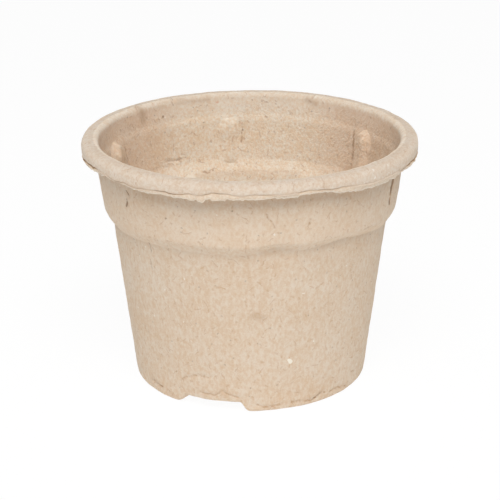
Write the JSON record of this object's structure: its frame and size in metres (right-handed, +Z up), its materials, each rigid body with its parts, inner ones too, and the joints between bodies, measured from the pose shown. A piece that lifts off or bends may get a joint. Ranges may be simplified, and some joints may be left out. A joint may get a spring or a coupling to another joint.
{
  "type": "moulded fibre plant pot",
  "caption": "Round tapered plant pot of moulded plant fibre, with a rolled rim, a stepped collar with stacking ribs inside, a raised floor and feet parted by drain notches.",
  "frame": {"origin": "centre of the pot's base, on the surface it stands on", "axes": "+Z up along the pot's axis; the front, with a drain notch just left of its middle, faces -Y; +X to the right"},
  "size_m": [0.13, 0.13, 0.0974],
  "materials": {
    "moulded_fibre": "matte",
    "torn_fibre": "matte"
  },
  "bodies": {
    "root": {"rim_roll": "moulded_fibre", "torn_edge": "torn_fibre", "collar": "moulded_fibre", "shoulder": "moulded_fibre", "lower_wall": "moulded_fibre", "floor": "moulded_fibre", "stacking_rib_1": "moulded_fibre", "stacking_rib_2": "moulded_fibre", "stacking_rib_3": "moulded_fibre", "stacking_rib_4": "moulded_fibre", "stacking_rib_5": "moulded_fibre", "stacking_rib_6": "moulded_fibre", "foot_1": "moulded_fibre", "foot_2": "moulded_fibre", "foot_3": "moulded_fibre"}
  },
  "joints": []
}
